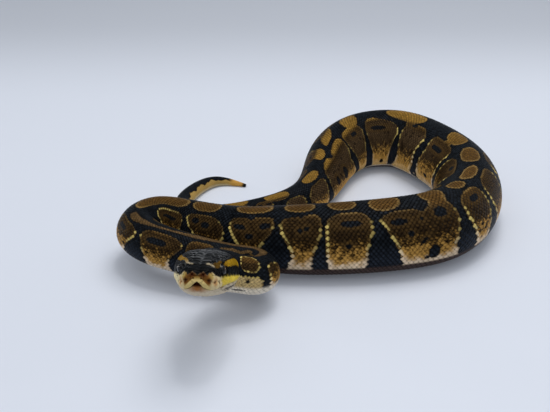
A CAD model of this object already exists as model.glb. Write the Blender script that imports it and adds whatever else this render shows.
"""Looks of the coiled ball python: one skin, its scales, belly plates, eyes and a plain studio.

All working sizes are in millimetres and become metres when a mesh is made. A place on the animal is
given by its distance behind the nape and its angle from the middle of the back, where the left
flank is positive and the head has distances below zero.
"""
import math

import bmesh
import bpy
import numpy as np
from mathutils import Euler, Matrix, Vector


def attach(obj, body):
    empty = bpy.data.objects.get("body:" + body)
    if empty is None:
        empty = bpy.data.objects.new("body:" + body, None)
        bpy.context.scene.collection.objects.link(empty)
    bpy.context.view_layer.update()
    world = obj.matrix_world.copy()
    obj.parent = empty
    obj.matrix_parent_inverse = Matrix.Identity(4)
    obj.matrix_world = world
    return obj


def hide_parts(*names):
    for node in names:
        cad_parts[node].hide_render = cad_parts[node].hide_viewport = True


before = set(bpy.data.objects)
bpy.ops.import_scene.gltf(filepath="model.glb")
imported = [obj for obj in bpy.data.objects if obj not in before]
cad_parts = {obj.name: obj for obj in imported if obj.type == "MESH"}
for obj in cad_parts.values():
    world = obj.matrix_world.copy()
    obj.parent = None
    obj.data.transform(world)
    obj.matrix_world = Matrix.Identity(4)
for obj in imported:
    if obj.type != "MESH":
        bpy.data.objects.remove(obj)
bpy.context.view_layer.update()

bl_info = {
    "name": "Coiled Ball Python",
    "version": (1, 0, 0),
    "blender": (4, 5, 0),
    "location": "View3D > Sidebar > Python",
    "description": "Builds the skin, scales, belly plates, eyes and studio of a coiled ball python",
    "category": "Object",
}

MM = 0.001

# Pose: the same centre line and sections as the solids -----------------------------------------
NAPE = (-51.8, -79.2, 31.0)
HEAD_YAW = math.radians(-3.0)
HEAD_PITCH = math.radians(20.0)
HEAD_ROLL = math.radians(1.0)
HEAD_LENGTH = 40.0
NAPE_RADIUS = 6.2
# The body's line behind the nape: across, back, height of its underside and radius
WAY_POINTS = (
    (-47.8, -72.6, 16.3, 8.7), (-40.5, -70.0, 12.4, 8.6), (-33.6, -67.2, 9.6, 8.8),
    (-30.9, -61.3, 7.9, 8.9), (-33.4, -55.4, 6.6, 9.0), (-40.5, -52.4, 6.0, 9.1),
    (-54.0, -49.6, 6.6, 9.5), (-69.2, -44.8, 7.9, 9.9), (-84.0, -37.4, 8.8, 10.3),
    (-91.2, -25.0, 8.9, 10.8), (-84.3, -13.0, 6.8, 11.6), (-70.0, -11.8, 2.6, 12.8),
    (-43.9, -22.5, 0.0, 14.8), (-19.0, -29.8, 0.0, 16.8), (8.0, -30.0, 0.0, 17.7),
    (38.0, -25.5, 0.0, 18.1), (60.0, -16.0, 0.0, 18.1), (79.0, 13.0, 0.0, 17.8), (82.5, 48.0, 0.0, 17.9),
    (70.5, 78.0, 0.0, 18.1), (52.0, 96.5, 0.0, 18.1), (27.5, 94.0, 0.0, 17.3), (12.5, 76.0, 0.0, 15.6),
    (6.0, 58.5, 0.0, 13.4), (-8.6, 28.2, 0.0, 9.6), (-37.5, 16.2, 0.0, 6.8), (-60.0, 15.8, 0.0, 5.5),
    (-74.5, 26.5, 0.0, 4.8), (-71.0, 49.0, 0.0, 4.0), (-58.0, 63.5, 0.0, 2.9), (-41.5, 61.0, 0.0, 1.0),
)
SAMPLES = 24             # steps of the line between two of these
KNOT_POWER = 0.75
LEAST_RADIUS = 0.8
WIDE = 1.04              # half width over radius
BELLY_DEPTH = 0.92       # how far the underside lies below the line, over radius
NARROW_BACK = 0.12       # how much narrower the body is towards its back
BACK_FIT = 1.01
NAPE_WIDER = 0.05        # how much fuller the body is where it meets the head
NAPE_TALLER = 0.013
BEND_WINDOW = 11
SQUEEZE = 0.80           # greatest half width inside a bend, over the bend's radius
SQUEEZE_POWER = 6.0
# Distance behind the snout, half width, crown, throat and narrowing of the crown
HEAD_SECTIONS = (
    (0.0, 2.5, 1.6, 1.8, 0.0), (0.8, 4.5, 2.9, 3.2, 0.02), (2.6, 6.2, 4.0, 4.6, 0.06),
    (5.4, 7.5, 5.0, 6.0, 0.11), (9.5, 8.7, 6.1, 7.4, 0.16), (13.5, 9.8, 6.8, 8.4, 0.2),
    (19.0, 11.4, 7.3, 9.4, 0.24), (26.0, 13.0, 7.7, 10.8, 0.26), (31.0, 13.2, 7.5, 11.7, 0.26),
    (35.5, 11.2, 6.6, 10.7, 0.22), (40.0, 6.8, 6.2, 6.5, 0.12),
)
CROWN_SQUARENESS = 3.4
THROAT_SQUARENESS = 2.5

# Scales: rows on each side of the spine, row pairs that end, and where they do ------------------
SIDE_ROWS = 30
BACK_SPAN = 148.0        # angle from the spine to the edge of the belly plates
COAT_DEPTH = 0.30        # how far the skin lies inside the flesh, for a full-sized scale
FULL_SCALE = 1.6         # half width of a full-sized scale
FULL_GIRTH = 18.0        # half width of the body where it is fullest
# Inner row of a pair, and the distances between which it is missing
ROW_ENDS = (
    (5, -2.0, 168.0), (11, 6.0, 148.0), (17, 14.0, 128.0), (23, 22.0, 108.0), (5, 468.0, 700.0),
    (11, 486.0, 700.0), (17, 504.0, 700.0), (23, 522.0, 700.0), (2, 556.0, 700.0), (8, 576.0, 700.0),
    (14, 596.0, 700.0), (20, 612.0, 700.0),
)
COAT_PIECES = (
    ("scales_neck", -32.0, 62.0), ("scales_forebody", 62.0, 160.0), ("scales_run", 160.0, 262.0),
    ("scales_side", 262.0, 362.0), ("scales_rear", 362.0, 462.0), ("scales_hind", 462.0, 545.0),
    ("scales_tail", 545.0, 642.0),
)

# Markings --------------------------------------------------------------------------------------
# A flank blotch is rows of angle, front edge and rear edge, from its top down
LEFT_BLOTCHES = (
    ((-4, 19.5, 22.5), (8, 17.5, 24.5), (25, 16.6, 25.6), (42, 17.0, 25.4), (52, 18.6, 24.6),
     (57, 20.4, 23.5)),
    ((70, 14.0, 25.0), (78, 14.5, 25.8), (90, 14.0, 26.2), (104, 12.0, 26.6), (122, 10.0, 27.0),
     (148, 8.0, 28.0)),
    ((43, 29.0, 30.6), (55, 28.2, 33.0), (72, 28.2, 35.5), (92, 28.6, 36.6), (112, 28.6, 37.0),
     (148, 28.0, 38.5)),
    ((40, 124.0, 137.0), (46, 118.5, 140.5), (58, 116.6, 141.2), (70, 117.2, 141.0), (90, 119.0, 140.0),
     (148, 120.0, 139.0)),
    ((33, 149.0, 159.0), (36, 145.6, 162.0), (44, 143.4, 165.2), (52, 144.4, 167.4), (62, 146.6, 168.4),
     (76, 151.0, 167.5), (100, 154.0, 165.0), (148, 154.0, 165.0)),
    ((26, 184.5, 188.5), (29, 171.8, 190.4), (40, 169.8, 191.0), (54, 170.8, 190.2), (64, 172.8, 187.6),
     (78, 175.5, 185.5), (100, 177.0, 185.0), (148, 177.0, 185.5)),
    ((22, 206.0, 209.0), (28, 195.2, 210.6), (42, 193.0, 211.2), (58, 194.4, 210.4), (74, 197.0, 208.6),
     (90, 198.6, 206.8), (108, 197.0, 205.8), (128, 195.6, 207.0), (148, 195.0, 208.0)),
    ((22, 220.0, 228.0), (25, 217.2, 230.4), (31, 214.6, 232.4), (40, 213.0, 233.6), (58, 212.5, 233.5),
     (72, 212.6, 231.8), (84, 212.4, 230.8), (98, 213.0, 230.6), (112, 213.8, 230.6),
     (130, 215.0, 229.0), (148, 215.0, 229.0)),
    ((26, 246.5, 253.0), (28, 243.6, 255.4), (33, 239.8, 257.6), (40, 237.4, 272.6), (50, 239.0, 273.2),
     (68, 241.8, 272.0), (90, 245.2, 269.6), (110, 246.8, 271.0), (128, 248.0, 273.0),
     (148, 248.0, 274.0)),
    ((10, 262.6, 272.4), (24, 262.0, 271.2), (34, 258.0, 272.4), (44, 256.0, 273.0)),
    ((20, 284.0, 289.5), (23, 281.0, 292.0), (29, 278.4, 293.6), (40, 276.6, 294.4), (60, 277.0, 294.0),
     (80, 278.8, 292.2), (100, 280.2, 290.4), (118, 281.0, 290.0), (148, 281.0, 291.0)),
    ((24, 305.0, 314.0), (27, 302.0, 316.4), (34, 298.8, 318.2), (48, 297.0, 319.0), (70, 297.8, 318.0),
     (92, 299.6, 316.0), (148, 300.0, 316.0)),
)
RIGHT_BLOTCHES = (
    ((15, 63.5, 68.5), (20, 61.5, 71.0), (30, 60.5, 72.3), (45, 60.0, 72.6), (70, 60.6, 72.2),
     (100, 61.4, 71.0), (148, 62.0, 70.5)),
    ((21, 84.0, 89.0), (26, 79.0, 92.4), (38, 74.8, 94.2), (50, 74.6, 94.6), (62, 76.2, 93.2),
     (78, 78.6, 92.2), (98, 79.8, 90.4), (120, 78.4, 90.0), (148, 78.0, 90.0)),
    ((35, 101.0, 107.5), (41, 98.2, 110.2), (52, 96.6, 110.8), (70, 98.0, 110.6), (90, 100.0, 110.4),
     (112, 101.6, 110.0), (148, 101.0, 110.0)),
    ((27, 306.0, 325.0), (36, 302.0, 330.6), (50, 300.6, 332.0), (70, 302.0, 331.0), (95, 304.0, 329.0),
     (148, 305.0, 328.0)),
    ((27, 346.0, 363.0), (33, 339.4, 364.8), (45, 337.0, 365.2), (62, 338.2, 364.0), (80, 337.2, 366.0),
     (98, 339.0, 367.0), (116, 336.0, 368.6), (148, 334.0, 370.0)),
    ((26, 377.0, 383.0), (32, 374.0, 391.0), (42, 370.6, 392.6), (58, 371.0, 392.6), (78, 373.0, 390.4),
     (98, 372.0, 389.8), (114, 375.6, 393.6), (130, 378.0, 402.0), (148, 380.0, 404.0)),
    ((22, 422.0, 427.0), (28, 417.0, 430.0), (38, 406.0, 432.6), (46, 399.0, 434.0), (58, 396.0, 435.0),
     (74, 398.6, 435.2), (92, 403.0, 433.2), (108, 407.4, 432.2), (126, 409.6, 429.0),
     (148, 409.0, 427.0)),
    ((17, 448.0, 454.0), (24, 438.6, 457.0), (42, 436.8, 458.6), (58, 439.6, 459.2), (76, 443.0, 457.6),
     (98, 444.2, 456.0), (120, 442.0, 452.4), (148, 441.0, 452.0)),
    ((11, 461.5, 467.0), (15, 459.6, 474.0), (24, 459.0, 479.0), (48, 461.0, 493.0), (70, 465.0, 494.6),
     (90, 463.0, 494.2), (110, 460.0, 493.6), (148, 458.0, 494.0)),
    ((12, 480.6, 486.0), (20, 479.6, 489.6), (34, 479.0, 492.6), (50, 478.0, 493.6)),
    ((33, 497.6, 504.0), (38, 496.2, 506.4), (58, 496.4, 509.0), (80, 498.0, 509.2), (148, 499.0, 508.6)),
    ((42, 514.0, 517.6), (48, 512.0, 520.0), (64, 511.4, 521.4), (90, 512.0, 521.0), (148, 512.4, 520.6)),
)
# Spots on the back: distance, angle, half length, half width in degrees, lean in mm per degree
BACK_SPOTS = (
    (126.0, 4.0, 15.5, 25.0, 0.0), (152.5, 3.0, 8.6, 21.0, 0.0), (179.6, -2.0, 9.6, 18.0, 0.0),
    (201.6, -3.0, 7.2, 17.0, 0.0), (221.6, -3.0, 6.8, 17.5, 0.0), (242.0, 1.0, 7.6, 22.0, -0.05),
    (267.4, -4.0, 6.6, 21.0, -0.02), (286.4, -2.0, 5.4, 13.5, 0.1), (305.0, 2.0, 9.6, 12.5, 0.26),
    (329.6, 0.0, 9.6, 19.0, 0.1), (353.0, -2.0, 8.0, 21.0, 0.12), (397.6, -7.0, 14.6, 21.0, 0.05),
    (439.4, -2.0, 6.4, 24.0, -0.12), (459.0, 18.0, 7.0, 18.0, -0.34), (477.2, 17.0, 5.2, 20.0, -0.12),
    (500.4, -2.0, 6.4, 19.0, 0.0), (524.6, -13.0, 6.6, 24.0, 0.04), (547.0, -2.0, 6.8, 23.0, 0.0),
    (572.0, 4.0, 6.5, 22.0, 0.0),
    # Bridges from a spot to a blotch
    (351.4, -25.0, 3.4, 9.0, 0.0), (390.4, -28.0, 3.6, 9.0, 0.0), (441.6, -22.0, 3.0, 9.0, 0.0),
)
# Stripes: polylines of distance, angle and half width in mm
STRIPES = (
    ((25.0, -20.0, 1.0), (28.0, -12.0, 1.7), (31.0, -2.0, 1.7), (33.5, 8.0, 1.9), (36.5, 16.0, 2.3),
     (43.0, 20.0, 2.4), (51.0, 20.0, 2.4), (59.0, 18.0, 2.2), (66.0, 13.0, 2.2), (72.0, 7.0, 2.1),
     (77.0, 2.0, 1.1), (86.0, -1.0, 0.8), (92.0, -3.0, 1.0), (97.0, -8.0, 1.5), (103.0, -13.0, 2.3),
     (107.0, -13.0, 1.8)),
    ((38.0, -26.0, 0.9), (43.0, -19.0, 1.2), (47.0, -24.0, 0.8), (52.0, -17.0, 1.0), (58.0, -20.0, 0.5)),
)
# Black marks inside the blotches, as ovals with the same five values
BLACK_MARKS = (
    (21.5, 84.0, 0.7, 4.0, 0.0), (86.6, -50.0, 4.6, 9.5, 0.0), (104.8, -55.0, 2.5, 6.5, 0.0),
    (129.4, 60.0, 6.0, 5.0, -0.6), (150.2, 48.0, 2.4, 6.5, 0.0), (157.0, 53.0, 2.4, 6.5, 0.0),
    (175.2, 46.0, 2.8, 5.5, 0.12), (187.2, 42.0, 2.6, 6.0, -0.1), (180.6, 62.0, 1.8, 5.0, 0.0),
    (180.4, 27.0, 1.7, 4.6, 0.0), (202.3, 24.0, 1.1, 4.0, 0.0), (201.8, 50.0, 1.0, 4.0, 0.0),
    (204.6, 47.0, 1.0, 4.0, 0.0), (224.2, 42.0, 5.0, 5.2, 0.0), (222.4, 76.0, 1.4, 3.4, 0.0),
    (246.0, 45.0, 4.0, 4.8, 0.0), (265.6, 38.0, 2.9, 9.0, 0.0), (256.4, 44.0, 0.9, 3.0, 0.0),
    (250.6, 65.0, 1.3, 4.5, 0.0), (256.0, 78.0, 1.2, 6.0, -0.25), (260.4, 98.0, 2.5, 11.5, 0.0),
    (257.6, 106.0, 1.2, 4.0, 0.0), (286.0, 38.0, 3.4, 5.8, 0.0), (316.0, -38.0, 3.0, 5.0, 0.0),
    (354.0, -48.0, 6.6, 5.4, 0.0), (354.4, -103.0, 3.0, 4.0, 0.0), (420.6, -47.0, 7.0, 4.6, 0.55),
    (418.0, -118.0, 2.4, 5.0, 0.0), (447.2, -37.0, 3.0, 5.5, 0.0), (476.6, -81.0, 2.5, 17.0, 0.03),
    (487.2, -77.0, 1.4, 13.0, 0.0), (385.4, -30.0, 2.2, 4.0, 0.0), (477.4, -20.0, 1.6, 5.5, 0.0),
)
# Stretches whose flank isn't set out above are marked by rule: side, from, to
MARKED_BY_RULE = ((1, 40.0, 112.0), (1, 322.0, 562.0), (-1, 2.0, 58.0), (-1, 113.0, 298.0),
                  (-1, 523.0, 562.0))
RULE_SEED = 7
OUTSIDE = -50.0          # depth of a place that lies in no mark
OVAL_REACH = 45.0        # no oval is felt further away than this
OVAL_POWER = 2.4
BLOTCH_REACH = 14.0
LOWEST_EDGE = 140.0      # a blotch whose last row is lower runs on under the belly
SLANT_STEP = 4.0


def smooth_step(value, low, high):
    """Zero below the low end, rising smoothly to one at the high one."""
    t = np.clip((value - low) / (high - low), 0.0, 1.0)
    return t * t * (3.0 - 2.0 * t)


def fade_out(value, low, high):
    """One below the low end, falling smoothly to zero at the high one."""
    return 1.0 - smooth_step(value, low, high)


def bell(value, width):
    """One at zero, falling to nothing on both sides."""
    return np.exp(-(value / width) ** 2)


def blend(first, second, share):
    """First colour turned into the second by its share at each place."""
    share = np.asarray(share)[..., None]
    return first * (1.0 - share) + np.asarray(second) * share


def toned(colour, strength):
    """One colour for many places, each made lighter or darker by its strength."""
    return colour * strength[:, None]


def table_at(table, value):
    """Columns after the first of a table, at values of the first."""
    rows = np.array(table, dtype=float)
    return [np.interp(value, rows[:, 0], column) for column in rows[:, 1:].T]


# Centre line -----------------------------------------------------------------------------------

def head_axes():
    """Rotation from the head's own frame to the model's, as a 3 by 3 array."""
    return np.array(Euler((-HEAD_PITCH, HEAD_ROLL, HEAD_YAW), "YXZ").to_matrix())


def smooth_curve(rows, leaving_direction):
    """Cubic spline through the rows that leaves the nape straight back from the head."""
    chords = np.linalg.norm(np.diff(rows[:, :2], axis=0), axis=1)
    knots = np.concatenate(([0.0], np.cumsum(chords ** KNOT_POWER)))
    gaps = np.diff(knots)
    count = len(rows)
    system = np.eye(count)
    right = np.zeros_like(rows)
    for i in range(1, count - 1):
        system[i, i - 1:i + 2] = gaps[i - 1], 2.0 * (gaps[i - 1] + gaps[i]), gaps[i]
        right[i] = 6.0 * ((rows[i + 1] - rows[i]) / gaps[i] - (rows[i] - rows[i - 1]) / gaps[i - 1])
    speed = np.linalg.norm(rows[1, :3] - rows[0, :3]) / gaps[0]
    leaving = np.append(leaving_direction * speed, 0.0)
    system[0, :2] = 2.0 * gaps[0], gaps[0]
    right[0] = 6.0 * ((rows[1] - rows[0]) / gaps[0] - leaving)
    bend = np.linalg.solve(system, right)
    samples = []
    for i, gap in enumerate(gaps):
        for step in range(SAMPLES):
            ahead = gap * step / SAMPLES
            back = gap - ahead
            cubic = (bend[i] * back ** 3 + bend[i + 1] * ahead ** 3) / (6.0 * gap)
            start = (rows[i] / gap - bend[i] * gap / 6.0) * back
            end = (rows[i + 1] / gap - bend[i + 1] * gap / 6.0) * ahead
            samples.append(cubic + start + end)
    samples.append(rows[-1])
    return np.array(samples)


def head_profile(distance):
    """Half width, crown, throat depth and narrowing of the crown, by distance behind the snout."""
    table = np.array(HEAD_SECTIONS)
    places = table[:, 0]
    slopes = np.gradient(table[:, 1:], places, axis=0)
    distance = np.clip(distance, places[0], places[-1])
    i = np.clip(np.searchsorted(places, distance) - 1, 0, len(places) - 2)
    gap = places[i + 1] - places[i]
    t = (distance - places[i]) / gap
    parts = (
        (2.0 * t ** 3 - 3.0 * t ** 2 + 1.0)[..., None] * table[i, 1:],
        ((t ** 3 - 2.0 * t ** 2 + t) * gap)[..., None] * slopes[i],
        (3.0 * t ** 2 - 2.0 * t ** 3)[..., None] * table[i + 1, 1:],
        ((t ** 3 - t ** 2) * gap)[..., None] * slopes[i + 1],
    )
    return np.moveaxis(sum(parts), -1, 0)


class Body:
    """Places on the flesh by distance behind the nape and angle from the middle of the back."""

    def __init__(self):
        axes = head_axes()
        self.head = axes
        rows = [(*NAPE, NAPE_RADIUS)]
        rows += [(x, y, lift + BELLY_DEPTH * radius, radius) for x, y, lift, radius in WAY_POINTS]
        samples = smooth_curve(np.array(rows), axes[:, 1])
        line = samples[:, :3]
        steps = np.linalg.norm(np.diff(line, axis=0), axis=1)
        self.along = np.concatenate(([0.0], np.cumsum(steps)))
        self.length = float(self.along[-1])
        ahead = np.gradient(line, axis=0)
        ahead[0] = axes[:, 1]
        ahead /= np.linalg.norm(ahead, axis=1)[:, None]
        side = np.cross(ahead, (0.0, 0.0, 1.0))
        side /= np.linalg.norm(side, axis=1)[:, None]
        turn = np.gradient(ahead, axis=0) / np.gradient(self.along)[:, None]
        bend = np.convolve(
            np.pad((turn * side).sum(axis=1), BEND_WINDOW // 2, mode="edge"),
            np.ones(BEND_WINDOW) / BEND_WINDOW, "valid")
        radius = np.maximum(samples[:, 3], LEAST_RADIUS)
        self.table = np.column_stack((line, side, np.cross(side, ahead), radius, bend))

    def radius_at(self, distance):
        """Radius of the body, or of the head where the distance is below zero."""
        width, crown, _, _ = head_profile(distance + HEAD_LENGTH)
        body = np.interp(distance, self.along, self.table[:, 9])
        return np.where(distance < 0.0, (width + crown) / 2.0, body)

    def section(self, distance):
        """Centre, side and up axes, half widths, crown, throat, how round it is and two narrowings."""
        values = np.column_stack([np.interp(distance, self.along, column) for column in self.table.T])
        centre, side, up = values[:, :3], values[:, 3:6], values[:, 6:9]
        radius, bend = values[:, 9], values[:, 10]
        side = side / np.linalg.norm(side, axis=1)[:, None]
        up = up / np.linalg.norm(up, axis=1)[:, None]
        outer = WIDE * radius
        tight = (np.abs(bend) / SQUEEZE) ** SQUEEZE_POWER
        inner = (outer ** -SQUEEZE_POWER + tight) ** (-1.0 / SQUEEZE_POWER)
        left = np.where(bend > 0.0, inner, outer)
        right = np.where(bend < 0.0, inner, outer)
        in_head = distance < 0.0
        width, crown, throat, narrow = head_profile(distance + HEAD_LENGTH)
        near_nape = fade_out(distance, 0.0, 5.0)
        fit = 1.0 + NAPE_WIDER * near_nape
        tall_fit = 1.0 + NAPE_TALLER * near_nape
        left = np.where(in_head, width, left * fit)
        right = np.where(in_head, width, right * fit)
        crown = np.where(in_head, crown, radius * tall_fit)
        throat = np.where(in_head, throat, radius * tall_fit)
        back = np.array(NAPE) + self.head[:, 1] * distance[:, None]
        centre = np.where(in_head[:, None], back, centre)
        side = np.where(in_head[:, None], self.head[:, 0], side)
        up = np.where(in_head[:, None], self.head[:, 2], up)
        rounding = smooth_step(distance, -6.0, 5.0)
        return centre, side, up, left, right, crown, throat, rounding, narrow, NARROW_BACK * rounding

    def place(self, distance, degrees, height):
        """Points over the flesh, in millimetres. The floor presses them flat."""
        shape = distance.shape
        distance, degrees, height = distance.ravel(), degrees.ravel(), height.ravel()
        sizes = self.section(distance)
        centre, side, up, left, right, crown, throat, rounding, narrow, low_narrow = sizes
        angle = np.radians(degrees)
        sine, cosine = np.sin(angle), np.cos(angle)
        square = np.where(cosine > 0.0, CROWN_SQUARENESS, THROAT_SQUARENESS)
        power = square + (2.0 - square) * rounding
        fit = 1.0 + (BACK_FIT - 1.0) * rounding
        pinch = 1.0 - np.where(cosine > 0.0, narrow, low_narrow) * cosine
        across = np.sign(sine) * np.abs(sine) ** (2.0 / power) * pinch / fit
        tall = np.sign(cosine) * np.abs(cosine) ** (2.0 / power)
        half_width = np.where(across > 0.0, left, right)
        half_height = np.where(cosine > 0.0, crown, throat)
        out_side = np.sign(sine) * np.abs(across) ** (power - 1.0) / half_width
        out_up = np.sign(cosine) * np.abs(tall) ** (power - 1.0) / half_height
        size = np.hypot(out_side, out_up) + 1e-9
        point = centre + side * (across * half_width + out_side / size * height)[:, None]
        point = point + up * (tall * half_height + out_up / size * height)[:, None]
        floor = 0.05 + 0.5 * np.maximum(height + COAT_DEPTH, 0.0)
        point[:, 2] = np.where(distance > 0.0, np.maximum(point[:, 2], floor), point[:, 2])
        return point.reshape((*shape, 3))


BODY = Body()


# Body colours ----------------------------------------------------------------------------------

# Black ground, the blotches from the back down to the pale lower flank, then belly and tail
BLACK = np.array((0.0042, 0.0052, 0.0066))
LOW_BLACK = np.array((0.0100, 0.0125, 0.0175))
BROWN = np.array((0.0110, 0.0062, 0.0032))
LIGHT_BROWN = np.array((0.064, 0.036, 0.0115))
RUSSET = np.array((0.072, 0.045, 0.023))
GOLD = np.array((0.094, 0.048, 0.012))
REAR_GOLD = np.array((0.300, 0.165, 0.030))
RIM = np.array((0.230, 0.140, 0.045))
STRIPE = np.array((0.115, 0.068, 0.028))
RUST = np.array((0.050, 0.019, 0.005))
TAN = np.array((0.560, 0.305, 0.070))
YELLOW = np.array((0.620, 0.480, 0.150))
CREAM = np.array((0.660, 0.510, 0.350))
REAR_CREAM = np.array((0.680, 0.430, 0.140))
THROAT = np.array((0.520, 0.390, 0.180))
BELLY = np.array((0.760, 0.680, 0.560))
BELLY_EDGE = np.array((0.045, 0.024, 0.022))
PLATE_EDGE = np.array((0.045, 0.028, 0.026))
TAIL_SIDE = np.array((0.420, 0.270, 0.080))
TAIL_UNDER = np.array((0.520, 0.420, 0.240))
# Black bar on the left of the neck: distance, angle, and half size in both
NECK_BAR = (18.8, 117.0, 3.4)
# Distances behind the nape between which the markings change
THROAT_END = 26.6
NECK_END = 30.0
SHADED_START, SHADED_END = (108.0, 130.0), (300.0, 345.0)    # dark edge of the belly, on the left
REAR = (330.0, 380.0)            # more golden from here on
DOTS_END = (425.0, 440.0)        # fainter pale dots from here on
TAIL = (562.0, 578.0)
TAIL_TIP, TAIL_POINT = (630.0, 634.0), (638.5, 640.5)
# Angles from the middle of the back between which the colours inside a blotch change
FLANK = (20.0, 32.0)
GOLDEN = (70.0, 92.0)
PALE = (108.0, 120.0)
BELLY_ANGLE = 134.0


def marked_by_rule():
    """Blotches for the flanks that are not set out by hand, with their black marks."""
    random = np.random.default_rng(RULE_SEED)
    blotches = {1: list(LEFT_BLOTCHES), -1: list(RIGHT_BLOTCHES)}
    marks = list(BLACK_MARKS)
    for side, start, end in MARKED_BY_RULE:
        at = start + random.uniform(2.0, 5.0)
        while at < end - 8.0:
            girth = float(BODY.radius_at(np.array([at]))[0])
            width = girth * random.uniform(0.85, 1.45)
            if at + width > end:
                break
            top = random.uniform(22.0, 34.0)
            lean = random.uniform(-1.5, 1.5)
            pinch = width * random.uniform(0.08, 0.2)
            middle = at + width / 2.0
            half = width / 2.0
            outline = (
                (top, half * 0.45, 0.0), (top + 7.0, half * 0.82, 0.0), (top + 20.0, half, 0.0),
                (top + 42.0, half - pinch * 0.6, lean * 0.3), (95.0, half - pinch, lean),
                (148.0, half - pinch * 0.8, lean),
            )
            blotches[side].append(tuple((turn, middle - room + shift, middle + room + shift)
                                        for turn, room, shift in outline))
            eyes = 2 if width > girth * 1.15 else 1
            for turn in range(eyes):
                offset = (turn - (eyes - 1) / 2.0) * width * 0.5
                marks.append((middle + offset, side * (top + random.uniform(14.0, 22.0)),
                              girth * random.uniform(0.13, 0.24), random.uniform(4.5, 7.0), 0.0))
            at += width + girth * random.uniform(0.28, 0.55)
    return blotches, marks


BLOTCHES, MARKS = marked_by_rule()


def oval_depth(distance, degrees, girth, ovals):
    """How deep a place lies in the nearest oval, in millimetres, negative outside them all."""
    deepest = np.full(distance.shape, OUTSIDE)
    for centre, angle, half_length, half_width, lean in ovals:
        near = np.flatnonzero(np.abs(distance - centre) < OVAL_REACH)
        turn = degrees[near] - angle
        along = np.abs(distance[near] - centre - lean * turn) / half_length
        reach = (along ** OVAL_POWER + np.abs(turn / half_width) ** OVAL_POWER) ** (1.0 / OVAL_POWER)
        size = np.minimum(half_length, np.radians(half_width) * girth[near])
        deepest[near] = np.maximum(deepest[near], (1.0 - reach) * size)
    return deepest


def blotch_depth(distance, degrees, girth):
    """Depth in the nearest flank blotch, one where its nearer edge is the front one, and its slant."""
    deepest = np.full(distance.shape, OUTSIDE)
    front_edge = np.zeros(distance.shape)
    slant = np.zeros(distance.shape)
    for side in (1, -1):
        turn = degrees * side
        for rows in BLOTCHES[side]:
            table = np.array(rows, dtype=float)
            top, bottom = table[0, 0], table[-1, 0]
            near = np.flatnonzero((turn > top - 20.0) & (distance > table[:, 1].min() - BLOTCH_REACH)
                                  & (distance < table[:, 2].max() + BLOTCH_REACH))
            front, back = table_at(rows, turn[near])
            lead, rest = distance[near] - front, back - distance[near]
            above = np.radians(turn[near] - top) * girth[near]
            below = np.radians(bottom - turn[near]) * girth[near] if bottom <= LOWEST_EDGE else -OUTSIDE
            depth = np.minimum(np.minimum(lead, rest), np.minimum(above, below))
            better = depth > deepest[near]
            near, is_front = near[better], (lead <= rest)[better]
            deepest[near] = depth[better]
            front_edge[near] = is_front
            lower, upper = (table_at(rows, turn[near] + step) for step in (SLANT_STEP, -SLANT_STEP))
            change = np.where(is_front, lower[0] - upper[0], lower[1] - upper[1])
            slant[near] = np.abs(change) / (np.radians(2.0 * SLANT_STEP) * girth[near])
    return deepest, front_edge, slant


def stripe_depth(distance, degrees, girth):
    """How deep a place lies in the nearest stripe, in millimetres."""
    deepest = np.full(distance.shape, OUTSIDE)
    for stripe in STRIPES:
        start, end = stripe[0][0], stripe[-1][0]
        inside = (distance >= start) & (distance <= end)
        angle, half_width = table_at(stripe, distance)
        away = np.abs(np.radians(degrees - angle)) * girth
        ends = np.minimum(distance - start, end - distance) * 0.8
        depth = np.minimum(half_width - away, ends)
        deepest = np.where(inside, np.maximum(deepest, depth), deepest)
    return deepest


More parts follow.
